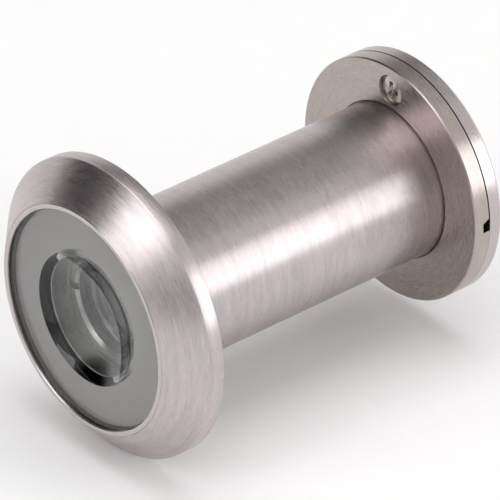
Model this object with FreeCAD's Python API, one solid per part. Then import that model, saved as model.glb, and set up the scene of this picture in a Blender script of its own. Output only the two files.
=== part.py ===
"""Door viewer with a swing cover, in millimetres.

The viewer's axis is Y: the wide objective looks out along -Y, the eyepiece and its cover face +Y,
and +Z is up. The origin is on the axis, in the plane where the head sits against the door's outer face.

The outer half is one turned body, a bevelled head on a tube, with the objective lens and a cell of two
small lenses in it. The inner half is a threaded sleeve with the eyepiece. Its collar turns in the
inner flange and draws the flange against the door. A disc hung on a screw at the top covers the eyepiece.
"""

import math
import os

import FreeCAD
import Part

# ---- driving sizes -------------------------------------------------------------------------------
BARREL_D = 15.9
GRIP_LENGTH = 33.3
BARREL_WALL = 1.05
HEAD_D = 30.2
RIM_WIDTH = 1.5
BEVEL_DEPTH = 3.15
BEVEL_WIDTH = 3.5
LIP_WIDTH = 0.5
FLANGE_BORDER = 4.55
FLANGE_THICKNESS = 1.8
COVER_THICKNESS = 1.6
THREAD_PITCH = 1.0
THREAD_DEPTH = 0.55
SLEEVE_WALL = 1.05
OBJECTIVE_HOLLOW_D = 13.2
OBJECTIVE_EDGE = 1.2
EYEPIECE_EDGE = 1.7
PIVOT_INSET = 2.5
PIVOT_HOLE_D = 3.2
PIVOT_SHANK_D = 1.6
STOP_PIN_D = 0.5

# ---- clearances and small steps ------------------------------------------------------------------
SLIP = 0.05
RUNNING = 0.06
THREAD_GAP = 0.1
RECESS_GAP = 0.1
COLLAR_GAP = 0.1
COVER_GAP = 0.03
UPPER_RELIEF = 0.12
EDGE_BREAK = 0.12
THROUGH = 1.0

# ---- places along the axis -----------------------------------------------------------------------
RIM_FRONT = -RIM_WIDTH
LIP_FRONT = RIM_FRONT - BEVEL_DEPTH
FLANGE_FRONT = GRIP_LENGTH
FLANGE_RECESS = 0.3
BARREL_END = FLANGE_FRONT + FLANGE_RECESS - RECESS_GAP
FLANGE_BACK = FLANGE_FRONT + FLANGE_THICKNESS
COVER_FRONT = FLANGE_BACK + COVER_GAP
COVER_BACK = COVER_FRONT + COVER_THICKNESS
FLANGE_R = BARREL_D / 2 + FLANGE_BORDER
COVER_CHAMFER = 0.35

# ---- threads -------------------------------------------------------------------------------------
THREAD_BORE_R = BARREL_D / 2 - BARREL_WALL + THREAD_GAP
MALE_CREST_R = THREAD_BORE_R - THREAD_GAP
MALE_ROOT_R = MALE_CREST_R - THREAD_DEPTH
THREAD_CREST_SHARE = 0.3
THREAD_ROOT_SHARE = 0.3
NOSE_LENGTH = 0.9

# ---- head and objective --------------------------------------------------------------------------
LIP_THICKNESS = 0.3
BEZEL_WALL = 0.35
GASKET_THICKNESS = 0.2
GASKET_WIDTH = 0.3
OBJECTIVE_FRONT = LIP_FRONT + LIP_THICKNESS
OBJECTIVE_BACK = OBJECTIVE_FRONT + OBJECTIVE_EDGE
SEAT_FLOOR = OBJECTIVE_BACK + GASKET_THICKNESS
SEAT_R = HEAD_D / 2 - BEVEL_WIDTH
LIP_R = SEAT_R - LIP_WIDTH
OBJECTIVE_R = SEAT_R - BEZEL_WALL - SLIP
OBJECTIVE_HOLLOW_DEPTH = 2.4
OBJECTIVE_BULGE_STEP = 0.3
OBJECTIVE_BULGE = 2.0

# ---- lens cell -----------------------------------------------------------------------------------
CELL_STEP = 0.2
CELL_R = THREAD_BORE_R - CELL_STEP
CELL_LENGTH = 9.2
CELL_SKIRT_WALL = 0.4
CELL_SKIRT = OBJECTIVE_BULGE
CELL_WALL = 0.8
CELL_FRONT = SEAT_FLOOR + SLIP
CELL_BACK = CELL_FRONT + CELL_LENGTH
CELL_BORE_R = CELL_R - CELL_WALL
CELL_LENS_R = CELL_BORE_R - SLIP
CELL_REAR_LIP = 0.8
CELL_REAR_LIP_WIDTH = 1.8
LOCK_RING_FRONT = CELL_FRONT + CELL_SKIRT
LOCK_RING_LENGTH = 1.2
LOCK_RING_BACK = LOCK_RING_FRONT + LOCK_RING_LENGTH
LOCK_RING_WIDTH = 1.05
LOCK_RING_CHAMFER = 0.35
LOCK_SLOT_WIDTH = 0.8
LOCK_SLOT_DEPTH = 0.4
LOCK_RING_HOLE_R = CELL_LENS_R - LOCK_RING_WIDTH
SECOND_EDGE = 1.3
SECOND_CROWN = 0.7
SECOND_DISH_DEPTH = 1.6
SECOND_DISH_BORDER = 1.55
SECOND_FRONT = LOCK_RING_BACK + SLIP
SECOND_BACK = SECOND_FRONT + SECOND_EDGE
THIRD_EDGE = 1.5
THIRD_DISH_DEPTH = 0.9
THIRD_DISH_BORDER = 2.05
THIRD_BACK = CELL_BACK - CELL_REAR_LIP
THIRD_FRONT = THIRD_BACK - THIRD_EDGE
SPACER_WALL = 0.7
SHOULDER_LENGTH = 0.8
SHOULDER_WIDTH = 0.6
SHOULDER_FRONT = CELL_BACK + SLIP
SHOULDER_BACK = SHOULDER_FRONT + SHOULDER_LENGTH

# ---- sleeve and eyepiece -------------------------------------------------------------------------
SLEEVE_FRONT_GAP = 0.4
SLEEVE_FRONT = SHOULDER_BACK + SLEEVE_FRONT_GAP
SLEEVE_BORE_R = MALE_ROOT_R - SLEEVE_WALL
RECESS_R = BARREL_D / 2 + RUNNING
COLLAR_INSET = 0.1
COLLAR_R = BARREL_D / 2 - COLLAR_INSET
COLLAR_SEAT_DEPTH = 0.85
COLLAR_THICKNESS = 0.72
COLLAR_FLOOR = FLANGE_FRONT + COLLAR_SEAT_DEPTH
COLLAR_FRONT = COLLAR_FLOOR + SLIP / 2
COLLAR_BACK = COLLAR_FRONT + COLLAR_THICKNESS
JOURNAL_RISE = 0.04
JOURNAL_R = MALE_CREST_R + JOURNAL_RISE
TOOL_SLOT_WIDTH = 1.3
TOOL_SLOT_DEPTH = 0.45
EYEPIECE_SEAT_STEP = 0.5
EYEPIECE_SEAT_R = SLEEVE_BORE_R + EYEPIECE_SEAT_STEP
EYEPIECE_R = EYEPIECE_SEAT_R - SLIP
EYEPIECE_CROWN = 0.75
EYE_SEAL = 0.4
EYE_RING_LENGTH = 1.5
EYE_RING_WIDTH = 1.15
EYE_RING_HOLE_R = EYEPIECE_R - EYE_RING_WIDTH
EYE_RING_CHAMFER = 0.7
EYE_SLOT_WIDTH = 0.9
EYE_SLOT_DEPTH = 0.5
EYE_RING_RECESS = 0.25
EYE_RING_BACK = COLLAR_BACK - EYE_RING_RECESS
EYE_RING_FRONT = EYE_RING_BACK - EYE_RING_LENGTH
EYEPIECE_BACK = EYE_RING_FRONT - SLIP
EYEPIECE_FRONT = EYEPIECE_BACK - EYEPIECE_EDGE
EYE_SEAT_FLOOR = EYEPIECE_FRONT - EYE_SEAL
BAFFLE_LENGTH = 0.8
BAFFLE_WIDTH = 2.1
BAFFLE_INSET = 0.6

# ---- pivot and stop ------------------------------------------------------------------------------
PIVOT_HEIGHT = FLANGE_R - PIVOT_INSET
SCREW_HEAD_GAP = 0.05
SCREW_HEAD_R = PIVOT_HOLE_D / 2 - SCREW_HEAD_GAP
SCREW_HEAD_THICKNESS = 0.62
SCREW_CROWN_R = 4.0
SCREW_RECESS = 0.05
SPRING_WASHER = 0.14
SCREW_HEAD_TOP = FLANGE_FRONT + SCREW_RECESS
SCREW_HEAD_BASE = SCREW_HEAD_TOP + SCREW_HEAD_THICKNESS
PIVOT_FLOOR = SCREW_HEAD_BASE + SPRING_WASHER
SHANK_R = PIVOT_SHANK_D / 2
SHANK_HOLE_R = SHANK_R + RUNNING
SHANK_REACH = 1.1
SCREW_TIP = COVER_FRONT + SHANK_REACH
FRICTION_WASHER_R = PIVOT_HEIGHT - COLLAR_R - COLLAR_GAP - SLIP
CROSS_WIDTH = 0.5
CROSS_REACH = 1.15
CROSS_DEPTH = 0.45
CROSS_TIP_R = 0.3
PIN_R = STOP_PIN_D / 2
PIN_GAP = 0.06
PIN_REACH = 0.65
PIN_PRESS = 0.9
TRACK_DEPTH = 0.85
TRACK_RAMP = 0.3
TRACK_SWEEP = 25.0
RIM_ANGLE = -math.degrees(math.atan2(PIVOT_HEIGHT, FLANGE_R))
PIN_TURN = 12.3
PIN_ANGLE = RIM_ANGLE - PIN_TURN
PIN_ARC_INSET = 0.05
PIN_ARC_R = math.hypot(FLANGE_R, PIVOT_HEIGHT) - PIN_ARC_INSET

AXIS = FreeCAD.Vector(0, 1, 0)
ORIGIN = FreeCAD.Vector(0, 0, 0)


def point(radius, y):
    return FreeCAD.Vector(radius, y, 0)


def turned(path):
    """A solid of revolution about Y. path holds corners (radius, y) and arcs (middle, end)."""
    edges = []
    here = point(*path[0])
    for step in path[1:] + [path[0]]:
        if isinstance(step[0], tuple):
            middle, end = point(*step[0]), point(*step[1])
            edges.append(Part.Arc(here, middle, end).toShape())
        else:
            end = point(*step)
            edges.append(Part.LineSegment(here, end).toShape())
        here = end
    return Part.Face(Part.Wire(edges)).revolve(ORIGIN, AXIS, 360)


def disc(radius, y0, y1, x=0.0, z=0.0):
    """A plain cylinder along Y."""
    return Part.makeCylinder(radius, y1 - y0, FreeCAD.Vector(x, y0, z), AXIS)


def ring(outer, inner, y0, y1, x=0.0, z=0.0):
    return disc(outer, y0, y1, x, z).cut(disc(inner, y0 - THROUGH, y1 + THROUGH, x, z))


def block(x0, x1, y0, y1, z0, z1):
    return Part.makeBox(x1 - x0, y1 - y0, z1 - z0, FreeCAD.Vector(x0, y0, z0))


def arc_middle(half_width, y_rim, y_apex):
    """The point halfway along a spherical face, from its rim (half_width, y_rim) to its apex (0, y_apex)."""
    sag = y_apex - y_rim
    radius = (half_width ** 2 + sag ** 2) / (2 * sag)
    centre = y_apex - radius
    angle = math.asin(min(1.0, half_width / abs(radius))) / 2
    return abs(radius) * math.sin(angle), centre + radius * math.cos(angle)


def threaded_rod(y0, y1):
    """A rod with thread ridges between y0 and y1, one each THREAD_PITCH, and a chamfered nose."""
    crest = THREAD_PITCH * THREAD_CREST_SHARE
    flank = THREAD_PITCH * (1 - THREAD_CREST_SHARE - THREAD_ROOT_SHARE) / 2
    root = THREAD_PITCH * THREAD_ROOT_SHARE
    path = [(0, y0), (MALE_ROOT_R - THREAD_DEPTH / 2, y0), (MALE_ROOT_R, y0 + THREAD_DEPTH / 2)]
    ridge = y0 + NOSE_LENGTH
    while ridge + crest + 2 * flank + root < y1:
        path.append((MALE_ROOT_R, ridge))
        path.append((MALE_CREST_R, ridge + flank))
        path.append((MALE_CREST_R, ridge + flank + crest))
        path.append((MALE_ROOT_R, ridge + 2 * flank + crest))
        ridge += THREAD_PITCH
    path.append((MALE_ROOT_R, y1))
    path.append((0, y1))
    return turned(path)


def outer_barrel():
    """Head and tube in one turning, with the lens seat, the cell bore, its shoulder and the thread's bore."""
    outside = turned([
        (0, LIP_FRONT), (SEAT_R, LIP_FRONT), (HEAD_D / 2, RIM_FRONT),
        (HEAD_D / 2, -EDGE_BREAK), (HEAD_D / 2 - EDGE_BREAK, 0),
        (BARREL_D / 2, 0), (BARREL_D / 2, BARREL_END - EDGE_BREAK),
        (BARREL_D / 2 - EDGE_BREAK, BARREL_END), (0, BARREL_END),
    ])
    seat = disc(SEAT_R, LIP_FRONT - THROUGH, SEAT_FLOOR)
    cell_bore = disc(CELL_R + SLIP, SEAT_FLOOR - THROUGH, SHOULDER_FRONT)
    shoulder_hole = disc(CELL_R - SHOULDER_WIDTH, SHOULDER_FRONT - THROUGH, SHOULDER_BACK + THROUGH)
    thread_bore = disc(THREAD_BORE_R, SHOULDER_BACK, BARREL_END + THROUGH)
    return outside.cut(seat.fuse(cell_bore)).cut(shoulder_hole.fuse(thread_bore))


def lens_bezel_ring():
    """The thin ring pressed into the head, whose lip holds the objective's edge."""
    return turned([
        (LIP_R + EDGE_BREAK, LIP_FRONT), (SEAT_R - EDGE_BREAK, LIP_FRONT), (SEAT_R, LIP_FRONT + EDGE_BREAK),
        (SEAT_R, OBJECTIVE_BACK), (OBJECTIVE_R + SLIP, OBJECTIVE_BACK),
        (OBJECTIVE_R + SLIP, OBJECTIVE_FRONT), (LIP_R, OBJECTIVE_FRONT), (LIP_R, LIP_FRONT + EDGE_BREAK),
    ])


def objective_lens():
    """The wide negative lens: a flat border round a deep bowl that bulges into the cell behind."""
    front_r = OBJECTIVE_HOLLOW_D / 2
    back_r = front_r - OBJECTIVE_BULGE_STEP
    front_apex = OBJECTIVE_FRONT + OBJECTIVE_HOLLOW_DEPTH
    back_apex = OBJECTIVE_BACK + OBJECTIVE_BULGE
    return turned([
        (0, front_apex),
        (arc_middle(front_r, OBJECTIVE_FRONT, front_apex), (front_r, OBJECTIVE_FRONT)),
        (OBJECTIVE_R - EDGE_BREAK, OBJECTIVE_FRONT), (OBJECTIVE_R, OBJECTIVE_FRONT + EDGE_BREAK),
        (OBJECTIVE_R, OBJECTIVE_BACK), (back_r, OBJECTIVE_BACK),
        (arc_middle(back_r, OBJECTIVE_BACK, back_apex), (0, back_apex)),
    ])


def objective_gasket():
    return ring(OBJECTIVE_R, OBJECTIVE_R - GASKET_WIDTH, OBJECTIVE_BACK, SEAT_FLOOR)


def mask_ring():
    """The grey anodised ring that shows behind the border of the wide lens."""
    return ring(OBJECTIVE_R - GASKET_WIDTH - SLIP, CELL_R, OBJECTIVE_BACK, SEAT_FLOOR)


def lens_cell():
    """The cup that holds the two small lenses in the tube, with a thin skirt round the wide lens's bulge."""
    cup = disc(CELL_R, CELL_FRONT, CELL_BACK)
    skirt_bore = disc(CELL_R - CELL_SKIRT_WALL, CELL_FRONT - THROUGH, LOCK_RING_FRONT)
    bore = disc(CELL_BORE_R, CELL_FRONT - THROUGH, THIRD_BACK).fuse(skirt_bore)
    rear_hole = disc(CELL_BORE_R - CELL_REAR_LIP_WIDTH, THIRD_BACK - THROUGH, CELL_BACK + THROUGH)
    return cup.cut(bore.fuse(rear_hole))


def cell_lock_ring():
    """The slotted ring that closes the lens cell in front."""
    body = turned([
        (LOCK_RING_HOLE_R + LOCK_RING_CHAMFER, LOCK_RING_FRONT), (CELL_LENS_R, LOCK_RING_FRONT),
        (CELL_LENS_R, LOCK_RING_BACK), (LOCK_RING_HOLE_R, LOCK_RING_BACK),
        (LOCK_RING_HOLE_R, LOCK_RING_FRONT + LOCK_RING_CHAMFER),
    ])
    half = LOCK_SLOT_WIDTH / 2
    slot = block(-CELL_R, CELL_R, LOCK_RING_FRONT - THROUGH, LOCK_RING_FRONT + LOCK_SLOT_DEPTH, -half, half)
    return body.cut(slot)


def second_lens():
    """The first small lens: a convex front and a deeply hollowed back."""
    front_r = LOCK_RING_HOLE_R - SLIP
    back_r = CELL_LENS_R - SECOND_DISH_BORDER
    front_apex = SECOND_FRONT - SECOND_CROWN
    back_apex = SECOND_BACK - SECOND_DISH_DEPTH
    return turned([
        (0, front_apex),
        (arc_middle(front_r, SECOND_FRONT, front_apex), (front_r, SECOND_FRONT)),
        (CELL_LENS_R, SECOND_FRONT), (CELL_LENS_R, SECOND_BACK), (back_r, SECOND_BACK),
        (arc_middle(back_r, SECOND_BACK, back_apex), (0, back_apex)),
    ])


def cell_spacer():
    return ring(CELL_LENS_R, CELL_LENS_R - SPACER_WALL, SECOND_BACK, THIRD_FRONT)


def third_lens():
    """The second small lens: hollowed in front and flat behind."""
    front_r = CELL_LENS_R - THIRD_DISH_BORDER
    apex = THIRD_FRONT + THIRD_DISH_DEPTH
    return turned([
        (0, apex),
        (arc_middle(front_r, THIRD_FRONT, apex), (front_r, THIRD_FRONT)),
        (CELL_LENS_R, THIRD_FRONT), (CELL_LENS_R, THIRD_BACK), (0, THIRD_BACK),
    ])


def inner_sleeve():
    """The threaded tube, with the journal and collar that turn in the flange, and two tool slots."""
    journal_front = FLANGE_FRONT + FLANGE_RECESS
    body = threaded_rod(SLEEVE_FRONT, journal_front)
    body = body.fuse(disc(JOURNAL_R, journal_front, COLLAR_FRONT))
    body = body.fuse(turned([
        (0, COLLAR_FRONT), (COLLAR_R, COLLAR_FRONT), (COLLAR_R, COLLAR_BACK - EDGE_BREAK),
        (COLLAR_R - EDGE_BREAK, COLLAR_BACK), (0, COLLAR_BACK),
    ]))
    body = body.cut(disc(SLEEVE_BORE_R, SLEEVE_FRONT - THROUGH, COLLAR_BACK + THROUGH))
    body = body.cut(disc(EYEPIECE_SEAT_R, EYE_SEAT_FLOOR, COLLAR_BACK + THROUGH))
    half = TOOL_SLOT_WIDTH / 2
    floor = COLLAR_BACK - TOOL_SLOT_DEPTH
    slot = block(-COLLAR_R - THROUGH, COLLAR_R + THROUGH, floor, COLLAR_BACK + THROUGH, -half, half)
    return body.cut(slot)


def sleeve_baffle():
    """The black stop pressed into the sleeve's front end."""
    y0 = SLEEVE_FRONT + BAFFLE_INSET
    return ring(SLEEVE_BORE_R - SLIP / 2, SLEEVE_BORE_R - BAFFLE_WIDTH, y0, y0 + BAFFLE_LENGTH)


def eyepiece_lens():
    """The positive lens, bulging on both sides."""
    front_r = SLEEVE_BORE_R - SLIP
    back_r = EYE_RING_HOLE_R - SLIP
    front_apex = EYEPIECE_FRONT - EYEPIECE_CROWN
    back_apex = EYEPIECE_BACK + EYEPIECE_CROWN
    return turned([
        (0, front_apex),
        (arc_middle(front_r, EYEPIECE_FRONT, front_apex), (front_r, EYEPIECE_FRONT)),
        (EYEPIECE_R, EYEPIECE_FRONT), (EYEPIECE_R, EYEPIECE_BACK), (back_r, EYEPIECE_BACK),
        (arc_middle(back_r, EYEPIECE_BACK, back_apex), (0, back_apex)),
    ])


def eyepiece_seal():
    return ring(EYEPIECE_R, SLEEVE_BORE_R, EYE_SEAT_FLOOR, EYEPIECE_FRONT)


def eyepiece_ring():
    """The slotted ring that holds the eyepiece, chamfered towards the eye."""
    body = turned([
        (EYE_RING_HOLE_R, EYE_RING_FRONT), (EYEPIECE_R, EYE_RING_FRONT), (EYEPIECE_R, EYE_RING_BACK),
        (EYE_RING_HOLE_R + EYE_RING_CHAMFER, EYE_RING_BACK),
        (EYE_RING_HOLE_R, EYE_RING_BACK - EYE_RING_CHAMFER),
    ])
    half = EYE_SLOT_WIDTH / 2
    slot = block(-half, half, EYE_RING_BACK - EYE_SLOT_DEPTH, EYE_RING_BACK + THROUGH, -COLLAR_R, COLLAR_R)
    return body.cut(slot)


def on_pivot_arc(angle, radius):
    """A place (x, z) at that angle and radius from the pivot's axis."""
    a = math.radians(angle)
    return radius * math.cos(a), PIVOT_HEIGHT + radius * math.sin(a)


def stop_track():
    """The track round the pivot that the stop pin runs in, ramped on its near side and open at the rim."""
    near = PIN_ARC_R - PIN_R - PIN_GAP
    far = PIN_ARC_R + PIN_R + PIN_GAP
    floor = FLANGE_BACK - TRACK_DEPTH
    top = FLANGE_BACK + THROUGH
    slope = TRACK_RAMP / TRACK_DEPTH
    corners = [(near, floor), (far, floor), (far, top), (near - slope * (TRACK_DEPTH + THROUGH), top)]
    wire = Part.makePolygon([FreeCAD.Vector(r, y, PIVOT_HEIGHT) for r, y in corners + corners[:1]])
    pivot = FreeCAD.Vector(0, 0, PIVOT_HEIGHT)
    pin_half_angle = math.degrees((PIN_R + PIN_GAP) / PIN_ARC_R)
    track = Part.Face(wire).revolve(pivot, AXIS, -TRACK_SWEEP)
    track.rotate(pivot, AXIS, pin_half_angle - PIN_ANGLE)
    return track


def rear_flange():
    """The inner flange, with the tube's recess, the collar's seat, the pivot hole and the stop track."""
    body = turned([
        (0, FLANGE_FRONT), (FLANGE_R - EDGE_BREAK, FLANGE_FRONT), (FLANGE_R, FLANGE_FRONT + EDGE_BREAK),
        (FLANGE_R, FLANGE_BACK), (0, FLANGE_BACK),
    ])
    body = body.cut(disc(JOURNAL_R + RUNNING, FLANGE_FRONT - THROUGH, FLANGE_BACK + THROUGH))
    body = body.cut(disc(RECESS_R, FLANGE_FRONT - THROUGH, FLANGE_FRONT + FLANGE_RECESS))
    body = body.cut(Part.makeCone(RECESS_R + EDGE_BREAK, RECESS_R, EDGE_BREAK, point(0, FLANGE_FRONT), AXIS))
    body = body.cut(disc(COLLAR_R + COLLAR_GAP, COLLAR_FLOOR, FLANGE_BACK + THROUGH))
    body = body.cut(disc(PIVOT_HOLE_D / 2, FLANGE_FRONT - THROUGH, PIVOT_FLOOR, 0, PIVOT_HEIGHT))
    body = body.cut(disc(SHANK_HOLE_R, FLANGE_FRONT - THROUGH, FLANGE_BACK + THROUGH, 0, PIVOT_HEIGHT))
    body = body.cut(stop_track())
    past = FLANGE_R + THROUGH
    return body.cut(block(-past, past, FLANGE_BACK - UPPER_RELIEF, FLANGE_BACK + THROUGH, 0, past))


def friction_washer():
    """The thin washer round the pivot, in the relief between flange and cover."""
    return ring(FRICTION_WASHER_R, SHANK_HOLE_R, FLANGE_BACK - UPPER_RELIEF, COVER_FRONT, 0, PIVOT_HEIGHT)


def spring_washer():
    """The washer under the pivot screw's head."""
    return ring(SCREW_HEAD_R, SHANK_HOLE_R, SCREW_HEAD_BASE, PIVOT_FLOOR, 0, PIVOT_HEIGHT)


def pivot_screw():
    """A cross-slotted screw, put in from the door side, that turns with the cover."""
    head = disc(SCREW_HEAD_R, SCREW_HEAD_TOP, SCREW_HEAD_BASE, 0, PIVOT_HEIGHT)
    crown = Part.makeSphere(SCREW_CROWN_R, FreeCAD.Vector(0, SCREW_HEAD_TOP + SCREW_CROWN_R, PIVOT_HEIGHT))
    head = head.common(crown)
    shank = disc(SHANK_R, SCREW_HEAD_BASE, SCREW_TIP, 0, PIVOT_HEIGHT)
    half = CROSS_WIDTH / 2
    y0, y1 = SCREW_HEAD_TOP - THROUGH, SCREW_HEAD_TOP + CROSS_DEPTH
    z = PIVOT_HEIGHT
    cross = block(-CROSS_REACH, CROSS_REACH, y0, y1, z - half, z + half)
    cross = cross.fuse(block(-half, half, y0, y1, z - CROSS_REACH, z + CROSS_REACH))
    slope = (CROSS_REACH - CROSS_TIP_R) / CROSS_DEPTH
    mouth_r = CROSS_REACH + slope * THROUGH
    taper = Part.makeCone(mouth_r, CROSS_TIP_R, y1 - y0, FreeCAD.Vector(0, y0, z), AXIS)
    return head.fuse(shank).cut(cross.common(taper))


def privacy_cover():
    """The disc that swings over the eyepiece."""
    body = turned([
        (0, COVER_FRONT), (FLANGE_R, COVER_FRONT), (FLANGE_R, COVER_BACK - COVER_CHAMFER),
        (FLANGE_R - COVER_CHAMFER, COVER_BACK), (0, COVER_BACK),
    ])
    body = body.cut(disc(SHANK_R + SLIP / 2, COVER_FRONT - THROUGH, SCREW_TIP + SLIP, 0, PIVOT_HEIGHT))
    x, z = on_pivot_arc(PIN_ANGLE, PIN_ARC_R)
    return body.cut(disc(PIN_R, COVER_FRONT - THROUGH, COVER_FRONT + PIN_PRESS, x, z))


def stop_pin():
    """The pin pressed into the cover that runs in the flange's track."""
    x, z = on_pivot_arc(PIN_ANGLE, PIN_ARC_R)
    return disc(PIN_R, FLANGE_BACK - PIN_REACH, COVER_FRONT + PIN_PRESS, x, z)


PIECES = [
    outer_barrel, lens_bezel_ring, objective_lens, objective_gasket, mask_ring,
    lens_cell, cell_lock_ring, second_lens, cell_spacer, third_lens,
    inner_sleeve, sleeve_baffle, eyepiece_lens, eyepiece_seal, eyepiece_ring,
    rear_flange, friction_washer, spring_washer, pivot_screw, privacy_cover, stop_pin,
]

os.makedirs("parts", exist_ok=True)
for piece in PIECES:
    shape = piece()
    print(f"{piece.__name__}: {len(shape.Solids)} solid, {shape.Volume:.1f} mm3, valid {shape.isValid()}")
    shape.exportStep(f"parts/{piece.__name__}.step")
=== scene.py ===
import bmesh
import bpy
import math
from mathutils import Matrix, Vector


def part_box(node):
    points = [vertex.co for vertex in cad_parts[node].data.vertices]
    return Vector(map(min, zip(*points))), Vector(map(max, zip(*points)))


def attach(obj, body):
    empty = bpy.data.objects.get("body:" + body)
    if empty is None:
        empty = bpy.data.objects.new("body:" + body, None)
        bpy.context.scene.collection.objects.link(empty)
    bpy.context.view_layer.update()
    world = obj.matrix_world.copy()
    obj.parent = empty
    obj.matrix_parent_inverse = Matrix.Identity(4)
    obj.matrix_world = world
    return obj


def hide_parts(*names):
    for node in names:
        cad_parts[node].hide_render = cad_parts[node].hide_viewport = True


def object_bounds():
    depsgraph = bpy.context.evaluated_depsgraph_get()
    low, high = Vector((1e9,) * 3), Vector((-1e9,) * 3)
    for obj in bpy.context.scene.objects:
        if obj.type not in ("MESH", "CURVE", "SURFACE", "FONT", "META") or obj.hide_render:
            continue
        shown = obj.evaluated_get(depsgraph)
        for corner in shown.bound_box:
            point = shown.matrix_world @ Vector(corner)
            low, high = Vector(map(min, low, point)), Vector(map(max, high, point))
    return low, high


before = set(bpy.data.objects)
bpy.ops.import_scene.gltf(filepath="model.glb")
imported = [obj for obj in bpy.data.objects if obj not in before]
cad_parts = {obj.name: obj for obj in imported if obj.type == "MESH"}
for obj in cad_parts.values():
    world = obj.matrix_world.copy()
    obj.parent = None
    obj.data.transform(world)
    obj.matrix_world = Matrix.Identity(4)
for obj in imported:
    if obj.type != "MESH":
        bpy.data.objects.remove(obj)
cad_low, cad_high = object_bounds()

# ---- head and tube -------------------------------------------------------------------------------
# The outer half is one turning of nickel-plated brass: a bevelled head with a bright rim, and the
# plain tube that stands in the door. It is finished with a fine brush while it spins, so every
# scratch runs round the axis.

MM = 0.001
TURN_STEPS = 192
SHARP_CORNER = math.radians(25)
SEAM_GAP = 0.0001 * MM
NEAR_AXIS = 0.05 * MM


def turned_mesh(name, corners, rounding=0.0):
    """A turning about Y. corners are (radius, y), closed into a ring unless both ends lie on the axis."""
    mesh = bmesh.new()
    points = [mesh.verts.new((radius, y, 0)) for radius, y in corners]
    edges = [mesh.edges.new(pair) for pair in zip(points, points[1:])]
    if corners[0][0] > 0 or corners[-1][0] > 0:
        edges.append(mesh.edges.new((points[-1], points[0])))
    if rounding:
        inner = [p for p in points if p.co.x > 0 and len(p.link_edges) == 2]
        bmesh.ops.bevel(
            mesh, geom=inner, offset=rounding, offset_type="OFFSET", segments=3, profile=0.5,
            affect="VERTICES", material=-1,
        )
    bmesh.ops.spin(
        mesh, geom=mesh.verts[:] + mesh.edges[:], cent=(0, 0, 0), axis=(0, 1, 0),
        angle=math.tau, steps=TURN_STEPS, use_merge=True,
    )
    bmesh.ops.remove_doubles(mesh, verts=mesh.verts[:], dist=SEAM_GAP)
    return finished_piece(name, mesh)


def finished_piece(name, mesh):
    """Turns the faces outwards, shades them smooth between sharp corners, and adds the object."""
    bmesh.ops.recalc_face_normals(mesh, faces=mesh.faces[:])
    for face in mesh.faces:
        face.smooth = True
    for edge in mesh.edges:
        edge.smooth = len(edge.link_faces) == 2 and edge.calc_face_angle() < SHARP_CORNER
    data = bpy.data.meshes.new(name)
    mesh.to_mesh(data)
    mesh.free()
    piece = bpy.data.objects.new(name, data)
    bpy.context.scene.collection.objects.link(piece)
    return piece


def fitted(piece, body, slot, material, *nodes):
    """Gives the piece its finish and fixes it to its body, in place of the nodes it stands for."""
    piece.data.materials.append(material)
    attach(piece, body)
    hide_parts(*nodes)


def maths(tree, operation, first, second=0.0):
    """The output of a Math node. Each input is a number or another node's output."""
    node = tree.nodes.new("ShaderNodeMath")
    node.operation = operation
    for socket, value in zip(node.inputs, (first, second)):
        if isinstance(value, (int, float)):
            socket.default_value = value
        else:
            tree.links.new(value, socket)
    return node.outputs[0]


def noise(tree, vector, scale, detail=2.0, w=None):
    node = tree.nodes.new("ShaderNodeTexNoise")
    node.inputs["Scale"].default_value = scale
    node.inputs["Detail"].default_value = detail
    if w is not None:
        node.noise_dimensions = "4D"
        tree.links.new(w, node.inputs["W"])
    tree.links.new(vector, node.inputs["Vector"])
    return node.outputs["Fac"]


def spread(tree, value, low, high, from_low=0.3, from_high=0.7):
    node = tree.nodes.new("ShaderNodeMapRange")
    node.inputs["From Min"].default_value = from_low
    node.inputs["From Max"].default_value = from_high
    node.inputs["To Min"].default_value = low
    node.inputs["To Max"].default_value = high
    tree.links.new(value, node.inputs["Value"])
    return node.outputs["Result"]


def blended(tree, factor, first, second):
    """A colour between two, by factor. Each is a tuple or another node's output."""
    node = tree.nodes.new("ShaderNodeMix")
    node.data_type = "RGBA"
    tree.links.new(factor, node.inputs["Factor"])
    for socket, value in ((node.inputs["A"], first), (node.inputs["B"], second)):
        if isinstance(value, tuple):
            socket.default_value = (*value, 1)
        else:
            tree.links.new(value, socket)
    return node.outputs["Result"]


def new_material(name):
    """A material with an empty tree, its shader and its object coordinates."""
    material = bpy.data.materials.new(name)
    material.use_nodes = True
    tree = material.node_tree
    shader = tree.nodes["Principled BSDF"]
    place = tree.nodes.new("ShaderNodeTexCoord").outputs["Object"]
    return material, tree, shader, place


def round_the_axis(tree, place, turn_scale):
    """Coordinates that follow a turning about Y: the direction from the axis, the radius, and the height."""
    split = tree.nodes.new("ShaderNodeSeparateXYZ")
    tree.links.new(place, split.inputs[0])
    across, along, up = split.outputs
    radius = maths(tree, "SQRT", maths(tree, "ADD", maths(tree, "MULTIPLY", across, across),
                                       maths(tree, "MULTIPLY", up, up)))
    safe = maths(tree, "MAXIMUM", radius, NEAR_AXIS)
    join = tree.nodes.new("ShaderNodeCombineXYZ")
    tree.links.new(maths(tree, "MULTIPLY", maths(tree, "DIVIDE", across, safe), turn_scale), join.inputs[0])
    tree.links.new(maths(tree, "MULTIPLY", maths(tree, "DIVIDE", up, safe), turn_scale), join.inputs[1])
    tree.links.new(maths(tree, "MULTIPLY", radius, 1 / MM), join.inputs[2])
    return join.outputs[0], maths(tree, "MULTIPLY", along, 1 / MM)


QUARTER_TURN = 0.25
SCRATCH_DEPTH = 0.03 * MM
GRAIN_DEPTH = 0.02 * MM


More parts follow.
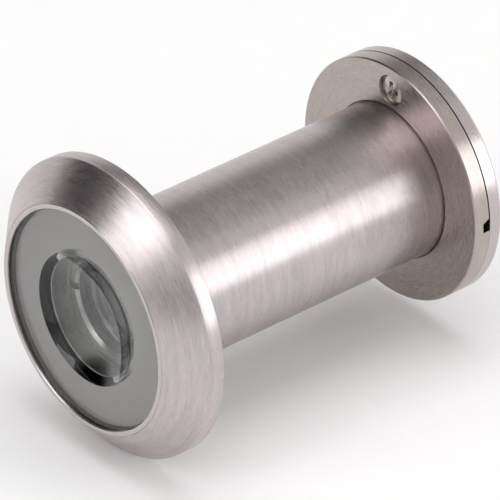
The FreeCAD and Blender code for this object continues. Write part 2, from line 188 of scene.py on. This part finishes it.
def brushed_metal(name, bright, dull, smooth, rough, streaks_per_mm=8.0, bump=0.2):
    """Satin metal brushed round the axis: short fine scratches, cloudy wear, and faint handling marks."""
    material, tree, shader, place = new_material(name)
    round_place, along = round_the_axis(tree, place, 1.5)
    scratch = noise(tree, round_place, streaks_per_mm, 3.0, maths(tree, "MULTIPLY", along, streaks_per_mm))
    bands_per_mm = streaks_per_mm / 6
    band = noise(tree, round_place, bands_per_mm, 2.0, maths(tree, "MULTIPLY", along, bands_per_mm))
    cloud = noise(tree, place, 60.0, 2.0)
    marks = noise(tree, place, 900.0, 2.0)
    tone = maths(tree, "ADD", maths(tree, "MULTIPLY", scratch, 0.6), maths(tree, "MULTIPLY", band, 0.25))
    tone = maths(tree, "ADD", tone, maths(tree, "MULTIPLY", cloud, 0.15))
    tree.links.new(blended(tree, spread(tree, tone, 0.0, 1.0, 0.36, 0.64), dull, bright),
                   shader.inputs["Base Color"])
    polish = maths(tree, "ADD", maths(tree, "MULTIPLY", scratch, 0.85), maths(tree, "MULTIPLY", marks, 0.15))
    tree.links.new(spread(tree, polish, smooth, rough, 0.35, 0.65), shader.inputs["Roughness"])
    shader.inputs["Metallic"].default_value = 1.0
    shader.inputs["Anisotropic"].default_value = 0.6
    shader.inputs["Anisotropic Rotation"].default_value = QUARTER_TURN
    tangent = tree.nodes.new("ShaderNodeTangent")
    tangent.direction_type = "RADIAL"
    tangent.axis = "Y"
    tree.links.new(tangent.outputs[0], shader.inputs["Tangent"])
    relief = tree.nodes.new("ShaderNodeBump")
    relief.inputs["Strength"].default_value = bump
    relief.inputs["Distance"].default_value = SCRATCH_DEPTH
    tree.links.new(scratch, relief.inputs["Height"])
    tree.links.new(relief.outputs[0], shader.inputs["Normal"])
    return material


low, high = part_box("outer_barrel")
LIP_FRONT = low.y
TUBE_END = high.y
HEAD_R = high.x
RIM_WIDTH = 1.5 * MM
BEVEL_WIDTH = 3.5 * MM
SLEEVE_GAP = 0.1 * MM
TUBE_WALL = 0.95 * MM
CELL_GAP = 0.05 * MM
SHOULDER_THICKNESS = 0.8 * MM
SHOULDER_REACH = 0.65 * MM
SEAT_R = HEAD_R - BEVEL_WIDTH
TUBE_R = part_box("inner_sleeve")[1].x + SLEEVE_GAP
THREAD_BORE_R = TUBE_R - TUBE_WALL
CELL_BORE_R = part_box("lens_cell")[1].x + CELL_GAP
SHOULDER_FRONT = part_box("lens_cell")[1].y + CELL_GAP
SHOULDER_BACK = SHOULDER_FRONT + SHOULDER_THICKNESS
SHOULDER_R = CELL_BORE_R - SHOULDER_REACH
SEAT_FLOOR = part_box("mask_ring")[1].y
EDGE = 0.12 * MM
SOFT_CORNER = 0.096 * MM

head_nickel = brushed_metal("head_nickel", (0.63, 0.565, 0.575), (0.40, 0.355, 0.365), 0.25, 0.36)

head_and_tube = turned_mesh("head_and_tube", [
    (SEAT_R, LIP_FRONT), (HEAD_R, -RIM_WIDTH), (HEAD_R, 0), (TUBE_R, 0), (TUBE_R, TUBE_END),
    (THREAD_BORE_R, TUBE_END), (THREAD_BORE_R, SHOULDER_BACK), (SHOULDER_R, SHOULDER_BACK),
    (SHOULDER_R, SHOULDER_FRONT), (CELL_BORE_R, SHOULDER_FRONT), (CELL_BORE_R, SEAT_FLOOR),
    (SEAT_R, SEAT_FLOOR),
], rounding=SOFT_CORNER)
fitted(head_and_tube, "outer_barrel", "barrel_nickel", head_nickel, "outer_barrel")

# ---- lip ring ------------------------------------------------------------------------------------
# A thin turned ring is pressed into the head, and its narrow lip holds the front lens in.
# It is brighter than the head, because it is polished after plating.

LENS_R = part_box("objective_lens")[1].x
LIP_WIDTH = 0.5 * MM
LIP_THICKNESS = 0.3 * MM
LENS_GAP = 0.05 * MM
LIP_R = SEAT_R - LIP_WIDTH
LENS_FRONT = LIP_FRONT + LIP_THICKNESS
LENS_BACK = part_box("mask_ring")[0].y

lip_nickel = brushed_metal("lip_nickel", (0.60, 0.56, 0.56), (0.50, 0.46, 0.46), 0.14, 0.24, bump=0.06)

lip_ring = turned_mesh("lip_ring", [
    (LIP_R, LIP_FRONT), (SEAT_R, LIP_FRONT), (SEAT_R, LENS_BACK), (LENS_R + LENS_GAP, LENS_BACK),
    (LENS_R + LENS_GAP, LENS_FRONT), (LIP_R, LENS_FRONT),
], rounding=SOFT_CORNER)
fitted(lip_ring, "outer_barrel", "bezel_nickel", lip_nickel, "lens_bezel_ring")

# ---- front lens ----------------------------------------------------------------------------------
# The wide lens is clear glass with a flat border round a deep bowl, which bulges into the lens cell.
# Its edge is painted black. Its border rests on a black gasket and a grey anodised ring, and the lip
# ring holds it in.

FACE_STEPS = 24
GLASS_IOR = 1.52


def bowl(rim_r, rim_y, apex_y):
    """Points (radius, y) on a spherical lens face, from its rim to the axis."""
    sag = apex_y - rim_y
    sphere_r = (rim_r ** 2 + sag ** 2) / (2 * sag)
    centre_y = apex_y - sphere_r
    rim_angle = math.asin(rim_r / abs(sphere_r))
    turns = [rim_angle * (1 - step / FACE_STEPS) for step in range(FACE_STEPS + 1)]
    return [(abs(sphere_r) * math.sin(turn), centre_y + sphere_r * math.cos(turn)) for turn in turns]


def optical_glass(name, tint):
    """Clear lens glass, with the faintest smears of handling in its polish."""
    material, tree, shader, place = new_material(name)
    smear = noise(tree, place, 260.0, 3.0)
    tree.links.new(spread(tree, smear, 0.0, 0.02, 0.45, 0.7), shader.inputs["Roughness"])
    tree.links.new(blended(tree, smear, tint, tuple(min(1.0, part * 1.03) for part in tint)),
                   shader.inputs["Base Color"])
    shader.inputs["Transmission Weight"].default_value = 1.0
    shader.inputs["IOR"].default_value = GLASS_IOR
    return material


BOWL_R = 6.6 * MM
BOWL_DEPTH = 2.4 * MM
BOWL_CHAMFER = 0.1 * MM
BULGE_R = 6.3 * MM
BULGE = 2.0 * MM
AIR_GAP = 0.01 * MM
GLASS_BACK = LENS_BACK - AIR_GAP
front_glass = optical_glass("front_glass", (0.955, 0.96, 0.955))

front_lens = turned_mesh("front_lens", [
    *reversed(bowl(BOWL_R, LENS_FRONT + BOWL_CHAMFER, LENS_FRONT + BOWL_DEPTH)),
    (BOWL_R + BOWL_CHAMFER, LENS_FRONT), (LENS_R - EDGE, LENS_FRONT),
    (LENS_R, LENS_FRONT + EDGE), (LENS_R, GLASS_BACK),
    *bowl(BULGE_R, GLASS_BACK, LENS_BACK + BULGE),
])
fitted(front_lens, "outer_barrel", "objective_glass", front_glass, "objective_lens")


def matte_black(name, colour, rough):
    """Black rubber or paint with a dusty, slightly uneven surface."""
    material, tree, shader, place = new_material(name)
    dust = noise(tree, place, 1500.0, 4.0)
    dusty = tuple(part * 1.8 for part in colour)
    tree.links.new(blended(tree, dust, colour, dusty), shader.inputs["Base Color"])
    tree.links.new(spread(tree, dust, rough - 0.1, rough + 0.1), shader.inputs["Roughness"])
    relief = tree.nodes.new("ShaderNodeBump")
    relief.inputs["Strength"].default_value = 0.2
    relief.inputs["Distance"].default_value = GRAIN_DEPTH
    tree.links.new(dust, relief.inputs["Height"])
    tree.links.new(relief.outputs[0], shader.inputs["Normal"])
    return material


def refinished(node, material):
    """Keeps a node of the frame as it is, and gives it its real finish."""
    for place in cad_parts[node].material_slots:
        place.material = material


black_rubber = matte_black("black_rubber", (0.020, 0.016, 0.017), 0.7)
refinished("objective_gasket", black_rubber)

PAINT_DEPTH = 0.03 * MM
edge_paint = matte_black("edge_paint", (0.007, 0.005, 0.005), 0.7)
front_lens.data.materials.append(edge_paint)
for face in front_lens.data.polygons:
    if math.hypot(face.center.x, face.center.z) > LENS_R - PAINT_DEPTH:
        face.material_index = 1


def grey_anodised(name, pale, dark):
    """Grey anodised aluminium with a fine even grain and the faintest turning marks."""
    material, tree, shader, place = new_material(name)
    round_place, along = round_the_axis(tree, place, 1.0)
    turning = noise(tree, round_place, 4.0, 2.0, maths(tree, "MULTIPLY", along, 4.0))
    grain = noise(tree, place, 4000.0, 2.0)
    tone = maths(tree, "ADD", maths(tree, "MULTIPLY", turning, 0.4), maths(tree, "MULTIPLY", grain, 0.6))
    tree.links.new(blended(tree, tone, dark, pale), shader.inputs["Base Color"])
    tree.links.new(spread(tree, grain, 0.5, 0.65), shader.inputs["Roughness"])
    shader.inputs["Metallic"].default_value = 0.3
    return material


refinished("mask_ring", grey_anodised("grey_anodised", (0.39, 0.38, 0.375), (0.33, 0.32, 0.315)))

# ---- lens cell -----------------------------------------------------------------------------------
# Two small lenses stand in a turned aluminium cup in the tube, kept apart by a spacer and closed by a
# ring with a spanner slot. These are grey anodised. The stop and the ring by the eye are blackened.


def black_anodised(name):
    """Black anodised aluminium with the marks of the turning tool."""
    material, tree, shader, place = new_material(name)
    round_place, along = round_the_axis(tree, place, 1.0)
    tool_mark = noise(tree, round_place, 5.0, 2.0, maths(tree, "MULTIPLY", along, 5.0))
    tree.links.new(blended(tree, tool_mark, (0.05, 0.05, 0.05), (0.16, 0.157, 0.155)),
                   shader.inputs["Base Color"])
    shader.inputs["Metallic"].default_value = 0.4
    tree.links.new(spread(tree, tool_mark, 0.35, 0.5), shader.inputs["Roughness"])
    relief = tree.nodes.new("ShaderNodeBump")
    relief.inputs["Strength"].default_value = 0.25
    relief.inputs["Distance"].default_value = GRAIN_DEPTH
    tree.links.new(tool_mark, relief.inputs["Height"])
    tree.links.new(relief.outputs[0], shader.inputs["Normal"])
    return material


blackened = black_anodised("black_anodised")
for node in ("sleeve_baffle", "eyepiece_ring"):
    refinished(node, blackened)

turned_grey = brushed_metal("turned_grey", (0.50, 0.50, 0.49), (0.22, 0.22, 0.215), 0.28, 0.45, 5.0)
for node in ("lens_cell", "cell_lock_ring", "cell_spacer"):
    refinished(node, turned_grey)

cell_glass = optical_glass("cell_glass", (0.95, 0.965, 0.96))
CELL_LENS_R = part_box("second_lens")[1].x
SECOND_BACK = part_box("second_lens")[1].y
SECOND_EDGE = 1.3 * MM
SECOND_CROWN_R = CELL_LENS_R - 1.1 * MM
SECOND_CROWN = 0.7 * MM
SECOND_DISH_R = CELL_LENS_R - 1.55 * MM
SECOND_DISH = 1.6 * MM
SECOND_FRONT = SECOND_BACK - SECOND_EDGE

second_lens_glass = turned_mesh("second_lens_glass", [
    *reversed(bowl(SECOND_CROWN_R, SECOND_FRONT, SECOND_FRONT - SECOND_CROWN)),
    (CELL_LENS_R, SECOND_FRONT), (CELL_LENS_R, SECOND_BACK),
    *bowl(SECOND_DISH_R, SECOND_BACK, SECOND_BACK - SECOND_DISH),
])
fitted(second_lens_glass, "outer_barrel", "cell_glass", cell_glass, "second_lens")

THIRD_FRONT, THIRD_BACK = (corner.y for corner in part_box("third_lens"))
THIRD_DISH_R = CELL_LENS_R - 2.05 * MM
THIRD_DISH = 0.9 * MM

third_lens_glass = turned_mesh("third_lens_glass", [
    *reversed(bowl(THIRD_DISH_R, THIRD_FRONT, THIRD_FRONT + THIRD_DISH)),
    (CELL_LENS_R, THIRD_FRONT), (CELL_LENS_R, THIRD_BACK), (0, THIRD_BACK),
])
fitted(third_lens_glass, "outer_barrel", "cell_glass", cell_glass, "third_lens")

# ---- threaded sleeve -----------------------------------------------------------------------------
# The inner tube carries a 1 mm thread nearly from end to end, and a thin collar with two tool slots
# that turns in the flange. It is nickel-plated brass, left as the thread tool leaves it.

sleeve_nickel = brushed_metal("sleeve_nickel", (0.50, 0.45, 0.43), (0.38, 0.34, 0.32), 0.22, 0.38, 4.0)
JOINING_GAP = 0.001 * MM


def smooth_copy(name, node):
    """A copy of a node of the frame with its triangles joined, so that its round faces shade smooth."""
    mesh = bmesh.new()
    mesh.from_mesh(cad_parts[node].data)
    bmesh.ops.remove_doubles(mesh, verts=mesh.verts[:], dist=JOINING_GAP)
    return finished_piece(name, mesh)


threaded_sleeve = smooth_copy("threaded_sleeve", "inner_sleeve")
fitted(threaded_sleeve, "inner_sleeve", "sleeve_nickel", sleeve_nickel, "inner_sleeve")

# ---- eyepiece ------------------------------------------------------------------------------------
# The eye lens bulges on both faces. It stands on a rubber seal in the sleeve's wide end, behind a
# blackened ring with a spanner slot.

EYE_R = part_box("eyepiece_lens")[1].x
EYE_FRONT, EYE_BACK = (corner.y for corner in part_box("eyepiece_lens"))
EYE_CROWN = 0.75 * MM
EYE_BORDER = 1.2 * MM
EYE_FRONT_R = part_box("sleeve_baffle")[1].x
EYE_BACK_R = EYE_R - EYE_BORDER
eye_glass = optical_glass("eye_glass", (0.95, 0.965, 0.96))

eye_lens = turned_mesh("eye_lens", [
    *reversed(bowl(EYE_FRONT_R, EYE_FRONT + EYE_CROWN, EYE_FRONT)),
    (EYE_R, EYE_FRONT + EYE_CROWN), (EYE_R, EYE_BACK - EYE_CROWN),
    *bowl(EYE_BACK_R, EYE_BACK - EYE_CROWN, EYE_BACK),
])
fitted(eye_lens, "inner_sleeve", "eyepiece_glass", eye_glass, "eyepiece_lens")
refinished("eyepiece_seal", black_rubber)

# ---- inner flange --------------------------------------------------------------------------------
# The flange bears on the door's inner face. It is turned and brushed like the head, with a recessed
# hole for the cover's screw, and a short curved track for the stop pin that opens at the rim.

# The flange's nickel is the head's nickel painted darker and browner: painted shade for the darker
# reflections its face catches.
flange_nickel = brushed_metal("flange_nickel", (0.50, 0.435, 0.415), (0.40, 0.345, 0.33), 0.24, 0.34)
flange = smooth_copy("flange", "rear_flange")
fitted(flange, "rear_flange", "flange_nickel", flange_nickel, "rear_flange")


def plain_steel(name, bright, dull, rough):
    """Plated steel with small tool marks and slight tarnish."""
    material, tree, shader, place = new_material(name)
    tarnish = noise(tree, place, 1200.0, 4.0)
    tree.links.new(blended(tree, spread(tree, tarnish, 0.0, 1.0), dull, bright), shader.inputs["Base Color"])
    tree.links.new(spread(tree, tarnish, rough + 0.12, rough - 0.05), shader.inputs["Roughness"])
    shader.inputs["Metallic"].default_value = 1.0
    relief = tree.nodes.new("ShaderNodeBump")
    relief.inputs["Strength"].default_value = 0.15
    relief.inputs["Distance"].default_value = GRAIN_DEPTH
    tree.links.new(noise(tree, place, 5000.0, 2.0), relief.inputs["Height"])
    tree.links.new(relief.outputs[0], shader.inputs["Normal"])
    return material


spring_steel = plain_steel("spring_steel", (0.56, 0.55, 0.53), (0.36, 0.35, 0.33), 0.3)
refinished("friction_washer", spring_steel)
refinished("spring_washer", spring_steel)

# ---- cover ---------------------------------------------------------------------------------------
# The cover is a plain turned disc of the flange's size, which hangs on a screw put in from the door
# side and swings off the eyepiece. Shut, its small pin stands at the end of the flange's track, and
# wide open the pin stands against the rim on the other side.

cover_nickel = brushed_metal("cover_nickel", (0.575, 0.515, 0.52), (0.475, 0.425, 0.43), 0.22, 0.32)
swing_cover = smooth_copy("swing_cover", "privacy_cover")
fitted(swing_cover, "privacy_cover", "cover_nickel", cover_nickel, "privacy_cover")

screw_steel = plain_steel("screw_steel", (0.60, 0.55, 0.51), (0.34, 0.30, 0.28), 0.2)
cover_screw = smooth_copy("cover_screw", "pivot_screw")
fitted(cover_screw, "privacy_cover", "screw_steel", screw_steel, "pivot_screw")
refinished("stop_pin", plain_steel("pin_steel", (0.62, 0.61, 0.60), (0.42, 0.41, 0.40), 0.25))

# ---- studio --------------------------------------------------------------------------------------
# A pale floor under the object, pale walls with three darker corners, and three soft lamps.

FLOOR_R = 3000 * MM
FLOOR_GAP = 0.2 * MM


def studio_floor(level):
    mesh = bmesh.new()
    bmesh.ops.create_circle(mesh, cap_ends=True, segments=64, radius=FLOOR_R)
    bmesh.ops.translate(mesh, verts=mesh.verts[:], vec=(0, 0, level))
    floor = finished_piece("studio_floor", mesh)
    material, tree, shader, place = new_material("studio_paper")
    grain = noise(tree, place, 300.0, 3.0)
    tree.links.new(blended(tree, grain, (0.90, 0.90, 0.90), (0.93, 0.93, 0.93)), shader.inputs["Base Color"])
    shader.inputs["Roughness"].default_value = 0.9
    floor.data.materials.append(material)


studio_floor(cad_low.z - FLOOR_GAP)


def soft_lamp(name, position, target, size, watts):
    data = bpy.data.lights.new(name, "AREA")
    data.shape = "RECTANGLE"
    data.size, data.size_y = size
    data.energy = watts
    lamp = bpy.data.objects.new(name, data)
    lamp.location = position
    lamp.rotation_euler = (Vector(target) - Vector(position)).to_track_quat("-Z", "Y").to_euler()
    bpy.context.scene.collection.objects.link(lamp)


middle = (cad_low + cad_high) / 2


def towards(azimuth, elevation):
    """The direction at an angle from +X towards +Y, and an angle above the floor, in degrees."""
    turn, rise = math.radians(azimuth), math.radians(elevation)
    return Vector((math.cos(turn) * math.cos(rise), math.sin(turn) * math.cos(rise), math.sin(rise)))


OVERHEAD = 600 * MM
LAMP_DISTANCE = 700 * MM
soft_lamp("overhead_lamp", middle + Vector((0, 0, OVERHEAD)), middle, (0.5, 0.5), 1.5)
soft_lamp("side_lamp", middle + towards(36, 6) * LAMP_DISTANCE, middle, (0.34, 0.70), 1.9)
soft_lamp("front_lamp", middle + towards(-96, 34) * LAMP_DISTANCE, middle, (0.36, 0.34), 0.8)

# each pair is a height, from straight down to straight up, and the brightness there
WALL_BAND = [(0.0, 1.0), (0.50, 1.0), (0.60, 0.92), (0.72, 0.82), (0.85, 0.80), (1.0, 0.85)]
# each corner has its azimuth, elevation and half width in degrees, and how much light it loses
DARK_CORNERS = [(-145, 25, 32, 0.99), (121, 48, 43, 0.66), (-62, -4, 30, 0.55)]


CORNER_CORE = 0.25


def shaded_corner(tree, direction, azimuth, elevation, half_width, depth):
    """How much of the light is left towards one dark corner of the room: 1 - depth at its middle."""
    product = tree.nodes.new("ShaderNodeVectorMath")
    product.operation = "DOT_PRODUCT"
    tree.links.new(direction, product.inputs[0])
    product.inputs[1].default_value = towards(azimuth, elevation)
    edge = math.cos(math.radians(half_width))
    fade = tree.nodes.new("ShaderNodeMapRange")
    fade.interpolation_type = "SMOOTHSTEP"
    fade.inputs["From Min"].default_value = edge
    fade.inputs["From Max"].default_value = 1 - (1 - edge) * CORNER_CORE
    fade.inputs["To Min"].default_value = 1.0
    fade.inputs["To Max"].default_value = 1.0 - depth
    tree.links.new(product.outputs["Value"], fade.inputs["Value"])
    return fade.outputs["Result"]


def studio_walls():
    """Walls of a brightness that changes with height, dimmed towards each dark corner."""
    world = bpy.data.worlds.new("studio_walls")
    world.use_nodes = True
    tree = world.node_tree
    direction = tree.nodes.new("ShaderNodeTexCoord").outputs["Generated"]
    split = tree.nodes.new("ShaderNodeSeparateXYZ")
    tree.links.new(direction, split.inputs[0])
    height = maths(tree, "ADD", maths(tree, "MULTIPLY", split.outputs[2], 0.5), 0.5)
    ramp = tree.nodes.new("ShaderNodeValToRGB")
    tree.links.new(height, ramp.inputs[0])
    stops = ramp.color_ramp.elements
    while len(stops) < len(WALL_BAND):
        stops.new(0.5)
    for stop, (position, grey) in zip(stops, WALL_BAND):
        stop.position = position
        stop.color = (grey, grey * 0.985, grey * 0.98, 1)
    light = 1.0
    for corner in DARK_CORNERS:
        light = maths(tree, "MULTIPLY", shaded_corner(tree, direction, *corner), light)
    background = tree.nodes["Background"]
    tree.links.new(ramp.outputs[0], background.inputs["Color"])
    tree.links.new(light, background.inputs["Strength"])
    bpy.context.scene.world = world


studio_walls()

AZIMUTH = math.radians(49.777)
ELEVATION = math.radians(33.043)
CAMERA_DISTANCE = 641.04 * MM
CAMERA_LENS = 480.8
CAMERA_AIM = Vector((0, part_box("rear_flange")[0].y, 0))
CAMERA_RIGHT = -13.337 * MM
CAMERA_UP = -6.779 * MM


def studio_camera():
    level = math.cos(ELEVATION)
    back = Vector((math.sin(AZIMUTH) * level, -math.cos(AZIMUTH) * level, math.sin(ELEVATION)))
    right = Vector((math.cos(AZIMUTH), math.sin(AZIMUTH), 0))
    up = back.cross(right)
    data = bpy.data.cameras.new("camera")
    data.lens = CAMERA_LENS
    data.sensor_width = 36
    data.clip_start = 0.05
    data.clip_end = 20
    camera = bpy.data.objects.new("camera", data)
    camera.location = CAMERA_AIM + back * CAMERA_DISTANCE + right * CAMERA_RIGHT + up * CAMERA_UP
    camera.rotation_mode = "QUATERNION"
    camera.rotation_quaternion = (-back).to_track_quat("-Z", "Y")
    bpy.context.scene.collection.objects.link(camera)
    bpy.context.scene.camera = camera


studio_camera()
bpy.context.scene.view_settings.view_transform = "Standard"
